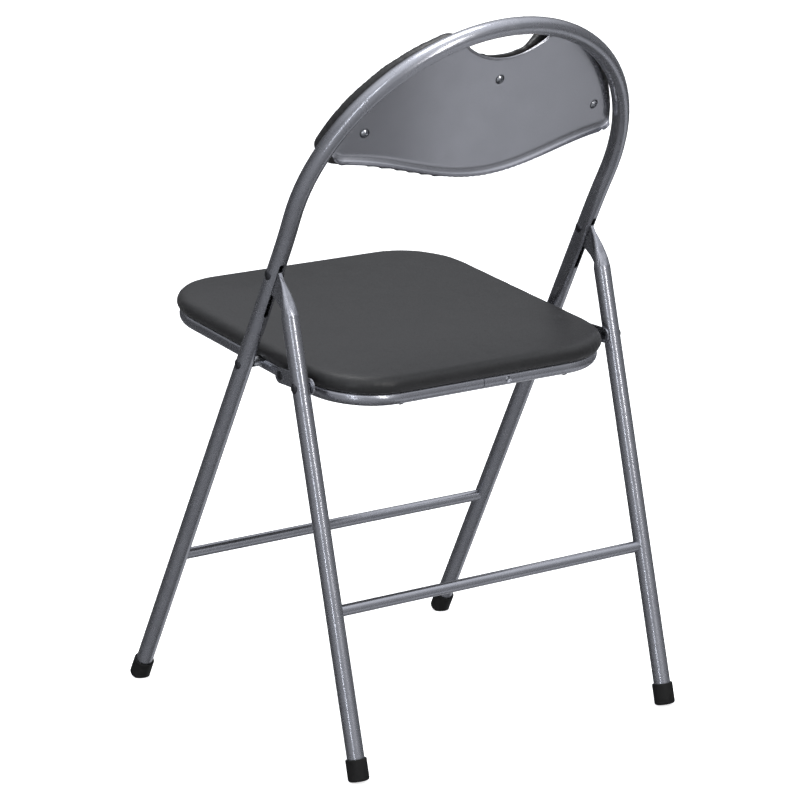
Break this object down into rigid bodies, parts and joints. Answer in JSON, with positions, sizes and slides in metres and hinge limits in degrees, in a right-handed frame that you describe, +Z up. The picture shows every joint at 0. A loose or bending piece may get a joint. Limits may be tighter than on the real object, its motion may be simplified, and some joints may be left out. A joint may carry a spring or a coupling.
{
  "type": "folding chair",
  "caption": "Folding chair: round-topped tube hoop that runs down as the front legs, padded seat on a tube ring, padded back with a hand-hold, rear legs linked to the seat.",
  "frame": {"origin": "on the floor, at the middle of the rectangle under the chair", "axes": "+X towards the sitter's left, -Y the way the sitter faces, +Z up"},
  "size_m": [0.4508, 0.4517, 0.7912],
  "materials": {
    "frame_paint": "metallic grey powder coat",
    "panel_paint": "satin metallic grey",
    "vinyl": "semi-gloss black vinyl",
    "board": "raw plywood",
    "steel": "zinc plated",
    "rivets": "dark painted steel",
    "rubber": "matt black"
  },
  "bodies": {
    "back_frame": {"back_hoop": "frame_paint", "front_crossbar": "frame_paint", "back_panel": "panel_paint", "back_board": "board", "back_cushion": "vinyl", "back_screws": "steel", "leg_pivot_rivet_left": "rivets", "leg_pivot_rivet_right": "rivets", "seat_pivot_rivet_left": "rivets", "seat_pivot_rivet_right": "rivets", "front_foot_cap_left": "rubber", "front_foot_cap_right": "rubber"},
    "seat": {"seat_ring": "frame_paint", "ring_joint_sleeve": "steel", "ring_joint_rivet": "steel", "seat_board": "board", "seat_cushion": "vinyl", "seat_screws": "steel", "seat_spacer_left": "steel", "seat_spacer_right": "steel", "link_boss_left": "frame_paint", "link_boss_right": "frame_paint"},
    "rear_legs": {"rear_leg_left": "frame_paint", "rear_leg_right": "frame_paint", "rear_crossbar": "frame_paint", "rear_foot_cap_left": "rubber", "rear_foot_cap_right": "rubber", "link_leg_rivet_left": "rivets", "link_leg_rivet_right": "rivets", "link_washer_left": "steel", "link_washer_right": "steel"},
    "link_left": {"link_plate_left": "frame_paint", "link_seat_rivet_left": "rivets"},
    "link_right": {"link_plate_right": "frame_paint", "link_seat_rivet_right": "rivets"}
  },
  "joints": [
    {"name": "seat_fold", "type": "hinge", "parent": "back_frame", "child": "seat", "pos_m": [0, 0.00374, 0.4128], "axis": [-1, 0, 0], "range_deg": [0, 111]},
    {"name": "leg_fold", "type": "hinge", "parent": "back_frame", "child": "rear_legs", "pos_m": [0, 0.06168, 0.52085], "axis": [-1, 0, 0], "range_deg": [0, 42.35]},
    {"name": "link_turn_left", "type": "hinge", "parent": "rear_legs", "child": "link_left", "pos_m": [0, 0.11098, 0.40723], "axis": [-1, 0, 0], "range_deg": [-85.1, 0]},
    {"name": "link_turn_right", "type": "hinge", "parent": "rear_legs", "child": "link_right", "pos_m": [0, 0.11098, 0.40723], "axis": [-1, 0, 0], "range_deg": [-85.1, 0]}
  ],
  "couplings": [
    {"joint": "leg_fold", "follows": "seat_fold", "ratio": 0.38138},
    {"joint": "link_turn_left", "follows": "seat_fold", "ratio": -0.76649},
    {"joint": "link_turn_right", "follows": "seat_fold", "ratio": -0.76649}
  ]
}
